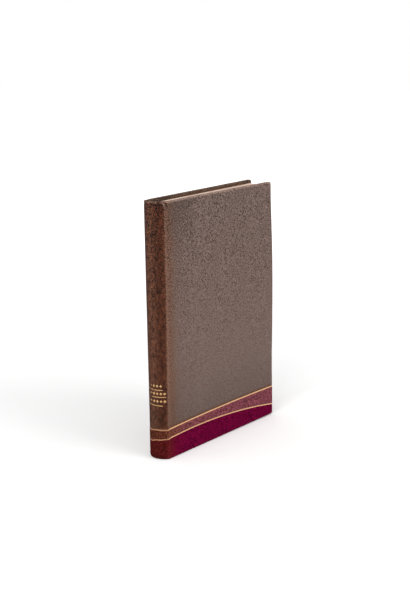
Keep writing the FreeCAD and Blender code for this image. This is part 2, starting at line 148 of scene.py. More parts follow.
def plan_normal(u):
    step = 0.02
    along = rounded_plan(np.asarray(u) + step) - rounded_plan(np.asarray(u) - step)
    along /= np.linalg.norm(along, axis=-1, keepdims=True)
    return np.stack([along[..., 1], -along[..., 0]], axis=-1)


def ridge(u):
    """Height of the worn ridge along the joint and of the shallow groove beside it."""
    return 0.18 * bump(0.1, 0.8, u) - 0.13 * bump(2.5, 1.0, u)


def front_bow(v):
    """How far the front board has warped outwards at the fore-edge."""
    return 1.7 + 0.3 * bump(100.0, 40.0, v) - 0.3 * bump(50.0, 22.0, v) - 1.7 * smooth(122.0, 192.0, v)


def back_bow(v):
    return 0.5 * (1.0 - (2.0 * np.asarray(v, float) / HEAD - 1.0) ** 2)


def lean(v):
    """The round of the spine is fuller at the head than at the tail."""
    return -0.45 + 0.85 * smooth(0.0, HEAD, v)


def waves(x, y, z):
    """Slow unevenness of a hand-covered surface, between -1 and 1 or so."""
    return (
        0.5 * np.sin(0.113 * x + 0.061 * z + 1.3) * np.sin(0.087 * z - 0.031 * x + 0.4 + 0.1 * y)
        + 0.3 * np.sin(0.241 * x - 0.173 * z + 2.1) * np.sin(0.197 * z + 0.9)
        + 0.2 * np.sin(0.47 * x + 0.39 * z + 0.2 * y)
    )


class Half:
    """One half of the covering, in u, v and depth; side is -1 at the front and 1 at the back."""

    def __init__(self, side, warp, upper, lower):
        self.side = side
        self.warp = warp
        self.upper = upper
        self.lower = lower

    def place(self, u, v, depth):
        """Points in millimetres."""
        u, v, depth = np.broadcast_arrays(*(np.asarray(a, float) for a in (u, v, depth)))
        flat = rounded_plan(u)
        normal = plan_normal(u)
        board = np.clip(u / WIDTH, 0.0, 1.1) ** 1.3 * self.warp(v)
        round_share = np.clip((np.cos(ARC + np.minimum(u, 0.0) / SPINE_R) - math.cos(ARC)), 0.0, 1.0)
        spine = lean(v) * round_share / (1.0 - math.cos(ARC))
        out = ridge(u) * np.clip(1.0 - depth / 1.5, 0.0, 1.0) + board + spine - depth
        flat = flat + normal * out[..., None]
        girth = self.girth(u)
        taller = RISE * smooth(0.5, -4.0, girth) * smooth(140.0, HEAD, v)
        worn_foot = RISE * smooth(30.0, WIDTH, girth) * smooth(22.0, 4.0, v)
        return np.stack([flat[..., 0], flat[..., 1] * -self.side, v + taller + worn_foot], axis=-1)

    def girth(self, u):
        """Distance round the book from the front joint: below 0 over the spine."""
        return u if self.side < 0 else -2.0 * ARC_LONG - u


def crown(run, rise, bend):
    """A stamped line that curves over its highest point."""
    return lambda u: rise - bend + np.sqrt(bend**2 - (np.clip(u, 0.0, WIDTH) - run) ** 2)


def sagging(line, side, dip, falls):
    """A line that lies lower over the spine than on the board, and falls towards the back joint."""
    def height(u):
        girth = u if side < 0 else -2.0 * ARC_LONG - u
        fall = sum(depth * smooth(begin, end, girth) for depth, begin, end in falls)
        return line(u) - dip * smooth(0.6, -1.2, u) - fall * (1.0 - 0.6 * smooth(-16.5, -24.0, girth))

    return height


def level(line):
    """A line straight across at the height where another one meets the joint."""
    return lambda u: float(line(0.8)) + 0.0 * u


UPPER_FALLS = ((0.3, -8.5, -12.5), (0.75, -11.5, -16.0))
LOWER_FALLS = ((0.65, -2.5, -8.5), (1.65, -9.0, -16.0))
UPPER_CROWN = crown(76.0, 24.5, 2215.0)
LOWER_CROWN = crown(33.0, 17.25, 500.0)
UPPER = sagging(UPPER_CROWN, -1, 0.5, UPPER_FALLS)
LOWER = sagging(LOWER_CROWN, -1, 0.53, LOWER_FALLS)
UPPER_BACK = sagging(level(UPPER_CROWN), 1, 0.5, UPPER_FALLS)
LOWER_BACK = sagging(level(LOWER_CROWN), 1, 0.53, LOWER_FALLS)
CRIMSON, LOWER_GILT, PLUM, UPPER_GILT, BROWN = range(5)

# Rows beside a gilt line: distance from its edge, and how far the onlay there stands out
NEAR = ((-0.9, ONLAY_LIFT), (-0.45, 0.16), (-0.12, 0.1), (0.0, 0.02))
GILT_LIFT = -0.03
ACROSS = (0.12, 0.3, 0.5, 0.7, 0.88)
BROWN_ROWS = 100
HEAD_ROWS = 13
HEAD_BAND = 6.0  # closer rows for the headcap and the torn joint


def rows(half, u):
    """v, lift and material of every row, from tail to head, at the columns u."""
    u = np.asarray(u, float)
    low, high = half.lower(u), half.upper(u)
    places, lifts, kinds = [], [], []

    def add(v, lift, kind):
        places.append(v + 0.0 * u)
        lifts.append(lift)
        kinds.append(kind)

    foot = TAIL + INSET
    first = low - LINE / 2 + NEAR[0][0]
    for share in np.linspace(0.0, 1.0, 7)[:-1]:
        add(foot + (first - foot) * share, ONLAY_LIFT, CRIMSON)
    for offset, lift in NEAR[:-1]:
        add(low - LINE / 2 + offset, lift, CRIMSON)
    add(low - LINE / 2, NEAR[-1][1], LOWER_GILT)
    for share in ACROSS:
        add(low + LINE * (share - 0.5), GILT_LIFT, LOWER_GILT)
    add(low + LINE / 2, NEAR[-1][1], PLUM)
    for offset, lift in NEAR[2:0:-1]:
        add(low + LINE / 2 - offset, lift, PLUM)
    start, stop = low + LINE / 2 - NEAR[0][0], high - LINE / 2 + NEAR[0][0]
    for share in np.linspace(0.0, 1.0, 5):
        add(start + (stop - start) * share, ONLAY_LIFT, PLUM)
    for offset, lift in NEAR[1:3]:
        add(high - LINE / 2 + offset, lift, PLUM)
    add(high - LINE / 2, NEAR[-1][1], UPPER_GILT)
    for share in ACROSS:
        add(high + LINE * (share - 0.5), GILT_LIFT, UPPER_GILT)
    add(high + LINE / 2, -0.06, BROWN)
    for offset, lift in ((0.12, -0.07), (0.35, -0.05), (0.8, 0.0)):
        add(high + LINE / 2 + offset, lift, BROWN)
    first = high + LINE / 2 + 1.6
    top = HEAD - INSET
    below = top - HEAD_BAND
    for share in np.linspace(0.0, 1.0, BROWN_ROWS)[:-1]:
        add(first + (below - first) * share, 0.0, BROWN)
    for share in np.linspace(0.0, 1.0, HEAD_ROWS):
        add(below + (top - below) * share, 0.0, BROWN)
    return np.stack(places, axis=-1), np.array(lifts), np.array(kinds)


# The rim: from the outer face over the edge of the board to the end of the turn-in
OUTER_ROUND = 0.9
INNER_ROUND = 0.5
CORNER = 1.7


def rim(depth, length):
    """Inset from the outline and depth of every point of the rim, and where its inner face begins."""
    insets, depths, inner = [], [], []

    def add(inset, deep, inside):
        insets.append(inset + 0.0 * depth)
        depths.append(deep + 0.0 * depth)
        inner.append(inside)

    for inset in (INSET, 2.1, 1.7, 1.3):
        add(inset, 0.0, False)
    for share in np.linspace(0.0, 1.0, 6):
        turn = share * math.pi / 2
        add(OUTER_ROUND * (1 - math.sin(turn)), OUTER_ROUND * (1 - math.cos(turn)), False)
    for share in (0.33, 0.67):
        add(0.0, OUTER_ROUND + (depth - OUTER_ROUND - INNER_ROUND) * share, False)
    for share in np.linspace(0.0, 1.0, 5):
        turn = share * math.pi / 2
        add(INNER_ROUND * (1 - math.cos(turn)), depth - INNER_ROUND * (1 - math.sin(turn)), share > 0.2)
    beside_inset = (INSET - INNER_ROUND) / (TURNIN - INNER_ROUND)
    for share in (0.06, beside_inset, 0.25, 0.5, 0.75, 1.0):
        add(INNER_ROUND + (length - INNER_ROUND) * share, depth, True)
    return np.stack(insets, axis=-1), np.stack(depths, axis=-1), np.array(inner)


def notch(u):
    """The covering dips where the board's back corner is cut beside the headcap."""
    return 0.9 * bump(1.7, 0.7, u)


def vertex_normals(points, faces):
    """Normals of the points, from faces of four corners, of which two may be the same."""
    corners = points[faces]
    across = np.cross(corners[:, 2] - corners[:, 0], corners[:, 3] - corners[:, 1])
    normals = np.zeros_like(points)
    for place in range(4):
        np.add.at(normals, faces[:, place], across)
    return normals / np.maximum(np.linalg.norm(normals, axis=1, keepdims=True), 1e-12)


def quads_of(index):
    """Faces of four corners between the rows and columns of a grid."""
    corners = (index[:-1, :-1], index[1:, :-1], index[1:, 1:], index[:-1, 1:])
    return np.stack(corners, axis=-1).reshape(-1, 4)


# Spots are girth, height and depth; wear is line and hole shade, rub and highlight, and inside, which hold
# painted shade and painted highlights as well as wear; every face has its kind and its u
Skin = namedtuple("Skin", "points normals spots wear faces kinds face_u")


class Patchwork:
    """Collects grids of points and welds them to one surface."""

    def __init__(self):
        self.points, self.lifts, self.places, self.faces, self.kinds = [], [], [], [], []
        self.count = 0

    def grid(self, places, points, lifts, kinds, flip=False):
        """A block of points with places in u, v and depth; kinds holds a material for every face."""
        n, m = points.shape[:2]
        self.points.append(points.reshape(-1, 3))
        self.places.append(places.reshape(-1, 3))
        self.lifts.append(np.broadcast_to(lifts, (n, m)).reshape(-1))
        index = np.arange(n * m).reshape(n, m) + self.count
        self.count += n * m
        quads = quads_of(index)
        self.faces.append(quads[:, ::-1] if flip else quads)
        self.kinds.append(np.broadcast_to(kinds, (n - 1, m - 1)).reshape(-1))

    def weld(self):
        """One surface, with the points that share a place made one."""
        points, lifts = np.concatenate(self.points), np.concatenate(self.lifts)
        keys = np.round(np.concatenate(self.places), 4)
        _, first, inverse = np.unique(keys, axis=0, return_index=True, return_inverse=True)
        faces = inverse.reshape(-1)[np.concatenate(self.faces)]
        kinds = np.concatenate(self.kinds)
        whole = np.array([len(set(face)) >= 3 for face in faces.tolist()])
        return points[first], lifts[first], keys[first], faces[whole], kinds[whole]


def head_damage(half, u, v, depth):
    """Depth of the hole at the head of the joint, and height of the leather torn up beside it."""
    is_front = half.side < 0
    hole = bump(1.75, 1.0, u) * bump(HEAD - 1.8, 1.7, v) * smooth(2.4, 0.6, depth)
    slant = -0.15 - 0.3 * (v - HEAD + 3.3)
    torn = bump(slant - 0.15, 0.5, u) * smooth(HEAD - 4.8, HEAD - 3.4, v) * smooth(1.2, 0.2, depth)
    return hole * (0.3 if is_front else 0.1), torn * (0.2 if is_front else 0.0)


def wear_and_light_of(half, u, v, depth, hole, torn):
    """Painted shade along the upper gilt line and in the hole at the head of the joint, rubbed wear with
    painted highlights, and inside at every point; inside is below 0 where painted shadow darkens the hole and
    the fold under the headcap.
    """
    above = v - half.upper(u) - LINE / 2
    past_line = np.maximum(above, 0.0)
    # painted shade, dark and warm, just above the upper gilt line where the pressed line leaves a groove, and
    # in the hole at the head of the joint
    line_and_hole_shade = np.where(above > -0.1, 0.8 * np.exp(-past_line / 0.9) + 0.5 * np.exp(-past_line / 7.0), 0.0)
    line_and_hole_shade = np.maximum(line_and_hole_shade, hole * 4.0)
    fold = bump(HEAD - 2.2, 0.8, v) * smooth(0.0, -1.5, u) * (0.45 + 0.55 * smooth(-13.0, -5.0, u))
    from_edge = np.minimum(WIDTH - u, np.minimum(v - TAIL, HEAD - v))
    outer = smooth(1.6, 0.4, from_edge) * smooth(2.6, 1.6, depth)
    from_corner = np.hypot(WIDTH - u, np.minimum(v, HEAD - v))
    corners = smooth(9.0, 1.0, from_corner) * smooth(3.2, 2.6, depth)
    # lip is a painted highlight on the top of the headcap rim; the rub value adds it, and a painted highlight
    # on the torn leather at the joint's head, to the real rubbing of edges and corners
    lip = smooth(1.7, 1.0, HEAD - v) * smooth(-0.8, -2.4, u) * smooth(2.6, 1.6, depth)
    rub_and_highlight = np.clip(0.7 * outer * smooth(0.0, 3.0, u) + 0.45 * corners + torn * 7.0 + 0.5 * lip, 0.0, 1.0)
    # painted shadow in the hole at the head of the joint and in the fold under the headcap, where inside
    # falls below 0
    pit_shadow = np.clip(np.maximum(hole * 10.0 - 0.7, 0.8 * fold) - torn * 6.0, 0.0, 1.0)
    inside = smooth(2.3, 2.9, depth) * (u > -1.0) - pit_shadow
    return np.stack([np.clip(line_and_hole_shade, 0.0, 1.0), rub_and_highlight, inside], axis=-1)


def covering(half):
    """One half of the covering with its turn-ins."""
    work = Patchwork()
    columns = np.concatenate(
        [
            np.linspace(-ARC_LONG, SEAM, 24),
            np.linspace(SEAM, 1.0, 14)[1:],
            np.linspace(1.0, 6.0, 12)[1:],
            np.linspace(6.0, WIDTH - INSET, 78)[1:],
        ]
    )
    v, lifts, kinds = rows(half, columns)
    u = columns[:, None]

    def add(u, v, depth, lifts, kinds, flip=False):
        places = np.stack(np.broadcast_arrays(u, v, depth), axis=-1)
        work.grid(places, half.place(u, v, depth), lifts, kinds, flip)

    add(u, v, 0.0, lifts[None, :], kinds[None, :-1])

    depth = CAP_DEPTH + (DEPTH - CAP_DEPTH) * smooth(-1.4, 0.6, columns)
    cap_turnin = 1.3
    length = cap_turnin + (TURNIN - cap_turnin) * smooth(-0.6, 1.2, columns)
    inset, deep, inner = rim(depth, length)
    dip = notch(columns)[:, None] * smooth(INSET, 0.8, inset)
    tail_kinds = np.where(inner, BROWN, CRIMSON)
    fade = smooth(INNER_ROUND, 0.0, deep - (depth[:, None] - INNER_ROUND))
    add(u, TAIL + inset + dip, deep, ONLAY_LIFT * fade, tail_kinds[None, :-1], flip=True)
    add(u, HEAD - inset - dip, deep, 0.0, BROWN)

    one_inset, one_deep, inner = rim(np.array([DEPTH]), np.array([TURNIN]))
    one_inset, one_deep = one_inset[0], one_deep[0]
    one_fade = smooth(INNER_ROUND, 0.0, one_deep - (DEPTH - INNER_ROUND))
    fore_u = WIDTH - one_inset
    fore_v = rows(half, np.maximum(fore_u, WIDTH - INSET))[0]
    fore_kinds = np.where(inner[:-1, None], BROWN, kinds[None, :-1])
    add(fore_u[:, None], fore_v, one_deep[:, None], lifts[None, :] * one_fade[:, None], fore_kinds)

    def corner(inset):
        """Outline of the corner at one inset, from the side strip round to the end strip."""
        inset = min(inset, INSET)
        bend = max(CORNER - inset, 0.0)
        middle = WIDTH - max(CORNER, inset)
        out = [(WIDTH - inset, INSET)]
        for share in np.linspace(0.0, 1.0, 7):
            turn = share * math.pi / 2
            out.append((middle + bend * math.cos(turn), WIDTH - middle - bend * math.sin(turn)))
        out.append((WIDTH - INSET, inset))
        return np.array(out)

    outline = np.stack([corner(inset) for inset in one_inset])
    corner_kinds = np.where(inner[:-1, None], BROWN, CRIMSON)
    add(outline[..., 0], HEAD - outline[..., 1], one_deep[:, None], 0.0, BROWN)
    corner_lift = ONLAY_LIFT * one_fade[:, None]
    add(outline[..., 0], TAIL + outline[..., 1], one_deep[:, None], corner_lift, corner_kinds, flip=True)

    points, lifts, places, faces, kinds = work.weld()
    if half.side > 0:
        faces = faces[:, ::-1]
    middle = np.abs(places[:, 0] + ARC_LONG) < 1e-3

    def normals_of(points):
        normals = vertex_normals(points, faces)
        normals[middle, 1] = 0.0
        return normals / np.linalg.norm(normals, axis=1, keepdims=True)

    u, v, depth = places.T
    lifts = lifts + 0.05 * waves(*points.T)
    hole, torn = head_damage(half, u, v, depth)
    cap = 0.2 * bump(HEAD - 2.1, 0.7, v) * smooth(0.0, -1.5, u)
    points = points + normals_of(points) * (lifts - hole + torn - cap)[:, None]
    spots = np.stack([half.girth(u), v, depth], axis=-1)
    wear = wear_and_light_of(half, u, v, depth, hole, torn)
    return Skin(points, normals_of(points), spots, wear, faces, kinds, u[faces].mean(axis=1))


def add_object(name, data):
    thing = bpy.data.objects.new(name, data)
    bpy.context.scene.collection.objects.link(thing)
    return thing


def make_object(name, points, faces, corner_normals=None, **facts):
    """A mesh from points in millimetres; facts are vectors kept at each point for the materials."""
    keep = faces != np.roll(faces, -1, axis=1)
    mesh = bpy.data.meshes.new(name)
    pairs = zip(faces.tolist(), keep.tolist())
    lists = [[corner for corner, kept in zip(face, row) if kept] for face, row in pairs]
    mesh.from_pydata((points * MM).tolist(), [], lists)
    mesh.shade_smooth()
    for label, values in {"rest": points, **facts}.items():
        layer = mesh.attributes.new(label, "FLOAT_VECTOR", "POINT")
        layer.data.foreach_set("vector", np.ascontiguousarray(values, dtype=np.float32).reshape(-1))
    if corner_normals is not None:
        mesh.normals_split_custom_set(corner_normals[keep].tolist())
    mesh.update()
    return add_object(name, mesh)


def sheet_piece(name, skins, wanted, thick):
    """A closed sheet from the faces of the skins that wanted picks, thickened inwards."""
    points, faces, corner_normals, spots, wear = [], [], [], [], []
    offset = 0
    for skin in skins:
        chosen = skin.faces[wanted(skin.kinds, skin.face_u)]
        if not len(chosen):
            continue
        used, local = np.unique(chosen, return_inverse=True)
        local = local.reshape(-1, 4)
        count = len(used)
        normals = skin.normals[used]
        both = np.concatenate([skin.points[used], skin.points[used] - normals * thick])
        deeper = skin.spots[used] + np.array([0.0, 0.0, thick])
        points.append(both)
        spots += [skin.spots[used], deeper]
        wear += [skin.wear[used], skin.wear[used]]
        starts = local.reshape(-1)
        ends = np.roll(local, -1, axis=1).reshape(-1)
        codes = starts * count + ends
        lone = (starts != ends) & ~np.isin(codes, ends * count + starts)
        a, b = starts[lone], ends[lone]
        quads = np.stack([b, a, a + count, b + count], axis=1)
        side = np.cross(both[quads[:, 1]] - both[quads[:, 0]], both[quads[:, 3]] - both[quads[:, 0]])
        side /= np.maximum(np.linalg.norm(side, axis=1, keepdims=True), 1e-12)
        faces += [offset + local, offset + count + local[:, ::-1], offset + quads]
        corner_normals += [normals[local], -normals[local[:, ::-1]], np.repeat(side[:, None], 4, axis=1)]
        offset += 2 * count
    parts = (points, faces, corner_normals, spots, wear)
    points, faces, corner_normals, spots, wear = (np.concatenate(part) for part in parts)
    return make_object(name, points, faces, corner_normals, spot=spots, wear=wear)


def grid_skin(points, spots, flip=False):
    """A plain rectangular skin from a grid of points."""
    n, m = points.shape[:2]
    faces = quads_of(np.arange(n * m).reshape(n, m))
    if flip:
        faces = faces[:, ::-1]
    flat = points.reshape(-1, 3)
    no_wear_and_light, no_kind = np.zeros_like(flat), np.zeros(len(faces))
    normals = vertex_normals(flat, faces)
    return Skin(flat, normals, spots.reshape(-1, 3), no_wear_and_light, faces, no_kind, no_kind)


def everything(kinds, u):
    """Picks every face of a skin."""
    return np.ones(len(kinds), bool)


def faces_of(kind, on_board):
    """Picks the faces of one material on the boards or on the spine."""
    return lambda kinds, u: (kinds == kind) & ((u > SEAM) == on_board)


def board_layer(name, half, u_span, v_span, d_span, cut=0.0):
    """A flat layer of a board that follows its warp; cut takes off its two corners at the joint."""
    u = np.linspace(*u_span, 40)[:, None]
    share = np.linspace(0.0, 1.0, 40)[None, :]
    reach = 2.6
    trim = cut * np.clip(1.0 - (u - u_span[0]) / reach, 0.0, 1.0)
    v = v_span[0] + trim + (v_span[1] - v_span[0] - 2 * trim) * share
    points = half.place(u, v, d_span[0])
    spots = np.stack(np.broadcast_arrays(half.girth(u), v, d_span[0]), axis=-1)
    skin = grid_skin(points, spots, flip=half.side > 0)
    return sheet_piece(name, [skin], everything, d_span[1] - d_span[0])


def spine_rules(half):
    """Three thin gilt rules across the spine, pressed by hand and so a little uneven."""
    skins = []
    for index, (length, _, low, slope) in enumerate(RULES):
        reach = math.asin(length / 2 / SPINE_R) * SPINE_R - 0.3
        u = np.linspace(-reach, reach, 60)[:, None] - ARC_LONG
        across = np.linspace(-0.5, 0.5, 5)[None, :]
        wide = 0.56 + 0.08 * np.sin(1.9 * u + index) + 0.05 * np.sin(4.3 * u + 2.0 * index)
        v = low + slope * (u + ARC_LONG) + 0.04 * np.sin(0.5 * u + 1.3 * index) + wide * across
        points = half.place(u, v, -0.05 + 0.2 * across**2)
        spots = np.stack(np.broadcast_arrays(half.girth(u), v, 0.0), axis=-1)
        skins.append(grid_skin(points, spots))
    return skins


def spine_lozenges(half):
    """A row of small lozenges above each rule."""
    skins = []
    first, second = np.meshgrid(np.linspace(-1.0, 1.0, 5), np.linspace(-1.0, 1.0, 5), indexing="ij")
    for index, (_, count, _, _) in enumerate(RULES):
        for place in range(count):
            turn = math.radians((place - (count - 1) / 2) * STAMP_STEP)
            size = STAMP_SIZE * (1.0 + 0.07 * math.sin(2.3 * place + index))
            u = -ARC_LONG + turn * SPINE_R + size * (first + second) / 2
            v = RULE_LOW + index * RULE_PITCH + STAMP_RISE + size * (second - first) / 2
            points = half.place(u, v, -0.07 + 0.06 * np.maximum(np.abs(first), np.abs(second)) ** 2)
            spots = np.stack([half.girth(u), v, 0.0 * u], axis=-1)
            skins.append(grid_skin(points, spots))
    return skins


def leaf_runs(turn):
    """Plan of every group of leaves from its fold to the fore-edge; turn is -1 to 1 across the block."""
    reach = math.acos((SPINE_X - LEDGE) / BACK_R)
    fold = np.stack([SPINE_X - BACK_R * np.cos(turn * reach), BACK_R * np.sin(turn * reach)], axis=-1)
    ledge = np.stack([LEDGE + 0.0 * turn, TEXT_HALF * turn], axis=-1)
    bend_r = (TEXT_FORE_HALF**2 + FORE_HOLLOW**2) / (2 * FORE_HOLLOW)
    fore_y = TEXT_FORE_HALF * turn
    fore = np.stack([TEXT_FORE - FORE_HOLLOW + bend_r - np.sqrt(bend_r**2 - fore_y**2), fore_y], axis=-1)
    middle = fold + np.array([0.4, 0.7]) * (ledge - fold)
    out = []
    for share in np.linspace(0.0, 1.0, 6):
        out.append((1 - share) ** 2 * fold + 2 * share * (1 - share) * middle + share**2 * ledge)
    for share in np.linspace(0.0, 1.0, 12)[1:]:
        out.append(ledge + (fore - ledge) * share)
    return np.stack(out)


def leaf_edges():
    """Cut edges of the leaves at tail, fore-edge and head, in groups that stand a little unevenly."""
    groups = 92
    seeded = np.random.default_rng(7)
    edges = np.linspace(-1.0, 1.0, groups + 1)
    turn, proud, number = [], [], []
    for index in range(groups):
        rise = 0.05 + 0.1 * seeded.random()
        width = edges[index + 1] - edges[index]
        for share, height in ((0.0, 0.0), (0.22, rise), (0.78, rise)):
            turn.append(edges[index] + width * share)
            proud.append(height)
            number.append(index)
    turn, proud, number = np.array(turn + [1.0]), np.array(proud + [0.0]), np.array(number + [groups - 1])
    runs = leaf_runs(turn)
    skins = []
    for height, sign in ((TEXT_FOOT, -1.0), (TEXT_TOP, 1.0)):
        ripple = 0.02 * np.sin(runs[..., 0] * 0.35 + number[None, :] * 0.9)
        z = height + sign * (0.02 + proud[None, :] + ripple)
        points = np.concatenate([runs, z[..., None]], axis=-1)
        spots = np.stack(np.broadcast_arrays(number[None, :], runs[..., 0], 0.0), axis=-1)
        skins.append(grid_skin(points, spots, flip=sign < 0))
    z = np.linspace(TEXT_FOOT - 0.05, TEXT_TOP + 0.05, 26)[:, None]
    ripple = 0.03 * np.sin(z * 0.21 + number[None, :] * 1.7) + 0.02 * np.sin(z * 0.07 + number[None, :] * 0.6)
    x = runs[-1, :, 0][None, :] + 0.02 + proud[None, :] + ripple
    points = np.stack(np.broadcast_arrays(x, runs[-1, :, 1][None, :], z), axis=-1)
    spots = np.stack(np.broadcast_arrays(number[None, :], z, 1.0), axis=-1)
    skins.append(grid_skin(points, spots, flip=True))
    return sheet_piece("leaf_edges", skins, everything, 0.3)


def headband(name, middle):
    """A bead wound with silk of two colours over a core, bent round the back of the leaves."""
    reach = math.acos((SPINE_X - LEDGE) / BACK_R)
    radius = BACK_R - BAND_R
    long = 2 * reach * radius
    along = np.linspace(0.0, 1.0, 221)
    around = np.linspace(0.0, 2 * math.pi, 15)
    run, turn = np.meshgrid(along * long, around, indexing="ij")
    thread = np.abs(np.sin(math.pi * (run / 0.42 + turn * 0.05)))
    ends = np.sqrt(np.clip(1.0 - (2 * along - 1.0) ** 40, 0.05, 1.0))[:, None]
    thick = BAND_R * (0.9 + 0.1 * thread) * ends
    angle = (run / long * 2 - 1) * reach
    out = radius + thick * np.cos(turn)
    x, y = SPINE_X - out * np.cos(angle), out * np.sin(angle)
    points = np.stack([x, y, middle + thick * np.sin(turn)], axis=-1)
    spots = np.stack([run, turn, 0.0 * run], axis=-1)
    n, m = points.shape[:2]
    index = np.arange(n * m).reshape(n, m)
    index[:, -1] = index[:, 0]
    faces = quads_of(index)
    caps = []
    for ring in (index[0, :-1], index[-1, ::-1][:-1]):
        for place in range(1, len(ring) - 1):
            caps.append([ring[0], ring[place], ring[place + 1], ring[place + 1]])
    faces = np.concatenate([faces, np.array(caps)])
    return make_object(name, points.reshape(-1, 3), faces, spot=spots.reshape(-1, 3))


def inner_joint(name, side):
    """Paper of the endleaves where it crosses from the text block to the board."""
    path = np.array(
        [
            (2.2, -5.62), (0.9, -5.62), (0.25, -5.7), (0.06, -6.1), (0.04, -7.2), (0.1, -8.2),
            (0.38, -8.62), (0.66, -8.2), (0.72, -7.2), (0.74, -6.2), (0.95, -5.78), (1.6, -5.76),
        ]
    )
    path[:, 0] += JOINT
    steps = np.linspace(0, len(path) - 1, 56)
    flat = np.stack([np.interp(steps, np.arange(len(path)), path[:, axis]) for axis in (0, 1)], axis=-1)
    for _ in range(6):
        flat[1:-1] = 0.25 * flat[:-2] + 0.5 * flat[1:-1] + 0.25 * flat[2:]
    z = np.linspace(TAIL + PASTE_MARGIN, HEAD - PASTE_MARGIN, 30)
    x, y, z = np.broadcast_arrays(flat[:, :1], flat[:, 1:] * -side, z)
    points = np.stack([x, y, z], axis=-1)
    spots = np.stack([x, z, 0.0 * x], axis=-1)
    return sheet_piece(name, [grid_skin(points, spots, flip=side < 0)], everything, 0.08)


class Paint:
    """Builds one material, node by node."""

    def __init__(self, name):
        self.material = bpy.data.materials.new(name)
        self.material.use_nodes = True
        self.tree = self.material.node_tree
        self.shader = self.tree.nodes["Principled BSDF"]

    def put(self, socket, value):
        if isinstance(value, bpy.types.NodeSocket):
            self.tree.links.new(value, socket)
        else:
            socket.default_value = value

    def node(self, kind, **settings):
        node = self.tree.nodes.new("ShaderNode" + kind)
        for name, value in settings.items():
            setattr(node, name, value)
        return node

    def fact(self, name):
        """The three parts of a vector kept at each point, and the vector itself."""
        source = self.node("Attribute", attribute_name=name)
        parts = self.node("SeparateXYZ")
        self.put(parts.inputs[0], source.outputs["Vector"])
        return parts.outputs[0], parts.outputs[1], parts.outputs[2], source.outputs["Vector"]

    def object_place(self):
        """Place on a rigid solid, in millimetres."""
        source = self.node("TexCoord")
        return self.scaled(source.outputs["Object"], 1 / MM)

    def scaled(self, vector, factor):
        node = self.node("VectorMath", operation="MULTIPLY")
        self.put(node.inputs[0], vector)
        self.put(node.inputs[1], factor if isinstance(factor, tuple) else (factor,) * 3)
        return node.outputs[0]

    def moved(self, vector, other):
        node = self.node("VectorMath", operation="ADD")
        self.put(node.inputs[0], vector)
        self.put(node.inputs[1], other)
        return node.outputs[0]

    def maths(self, operation, first, second=0.0, third=0.0):
        node = self.node("Math", operation=operation)
        for socket, value in zip(node.inputs, (first, second, third)):
            self.put(socket, value)
        return node.outputs[0]

    def times(self, first, second):
        return self.maths("MULTIPLY", first, second)

    def plus(self, first, second):
        return self.maths("ADD", first, second)

    def spread(self, value, low, high, to_low=0.0, to_high=1.0, kind="SMOOTHSTEP"):
        node = self.node("MapRange", interpolation_type=kind)
        for name, number in (
            ("Value", value), ("From Min", low), ("From Max", high), ("To Min", to_low), ("To Max", to_high)
        ):
            self.put(node.inputs[name], number)
        return node.outputs[0]

    def noise(self, vector, scale, detail=2.0, colour=False):
        node = self.node("TexNoise")
        self.put(node.inputs["Vector"], vector)
        self.put(node.inputs["Scale"], scale)
        self.put(node.inputs["Detail"], detail)
        return node.outputs["Color" if colour else "Fac"]

    def mottle(self, vector, scale, detail, low, high):
        """Noise spread evenly from low to high."""
        return self.spread(self.noise(vector, scale, detail), 0.3, 0.7, low, high, "LINEAR")

    def cell_edges(self, vector, scale):
        """Distance to the nearest edge between two cells."""
        node = self.node("TexVoronoi", feature="DISTANCE_TO_EDGE")
        self.put(node.inputs["Vector"], vector)
        self.put(node.inputs["Scale"], scale)
        return node.outputs["Distance"]

    def mix(self, share, first, second):
        node = self.node("Mix", data_type="RGBA")
        self.put(node.inputs[0], share)
        self.put(node.inputs[6], first)
        self.put(node.inputs[7], second)
        return node.outputs[2]

    def ramp(self, value, stops):
        """Colours at their values; value runs between the first and last stop."""
        low, high = stops[0][0], stops[-1][0]
        share = self.spread(value, low, high, kind="LINEAR")
        node = self.node("ValToRGB")
        self.put(node.inputs[0], share)
        parts = node.color_ramp.elements
        while len(parts) < len(stops):
            parts.new(0.5)
        for part, (place, _) in zip(parts, stops):
            part.position = (place - low) / (high - low)
        for part, (_, colour) in zip(parts, stops):
            part.color = srgb(*colour)
        return node.outputs[0]

    def dim(self, colour, factor):
        """The colour times a grey factor, which may be above 1."""
        node = self.node("VectorMath", operation="SCALE")
        self.put(node.inputs[0], colour)
        self.put(node.inputs["Scale"], factor)
        return node.outputs[0]

    def relief(self, height, distance):
        """Bump of a height between 0 and 1 that is distance millimetres high."""
        node = self.node("Bump")
        self.put(node.inputs["Height"], height)
        self.put(node.inputs["Distance"], distance * MM)
        self.put(node.inputs["Strength"], 1.0)
        self.put(self.shader.inputs["Normal"], node.outputs[0])

    def finish(self, colour, roughness, **sockets):
        self.put(self.shader.inputs["Base Color"], colour)
        self.put(self.shader.inputs["Roughness"], roughness)
        for name, value in sockets.items():
            self.put(self.shader.inputs[name.replace("_", " ")], value)
        return self.material


def from_joints(paint, girth):
    """Distance from the nearer joint line: above 0 on the boards and below 0 on the spine."""
    return paint.maths("SUBTRACT", paint.maths("ABSOLUTE", paint.plus(girth, ARC_LONG)), ARC_LONG)


def pebbles(paint, rest, scale):
    """Grain of the skin: its height, and the creases between the pebbles."""
    wander = paint.noise(rest, 0.5, 2.0, colour=True)
    drift = paint.scaled(paint.moved(wander, (-0.5, -0.5, -0.5)), 1.3)
    place = paint.scaled(paint.moved(rest, drift), (1.0, 1.0, 0.86))
    edge = paint.cell_edges(place, scale)
    height = paint.spread(edge, 0.0, 0.3)
    crease = paint.spread(edge, 0.03, 0.2, 1.0, 0.0)
    return height, crease


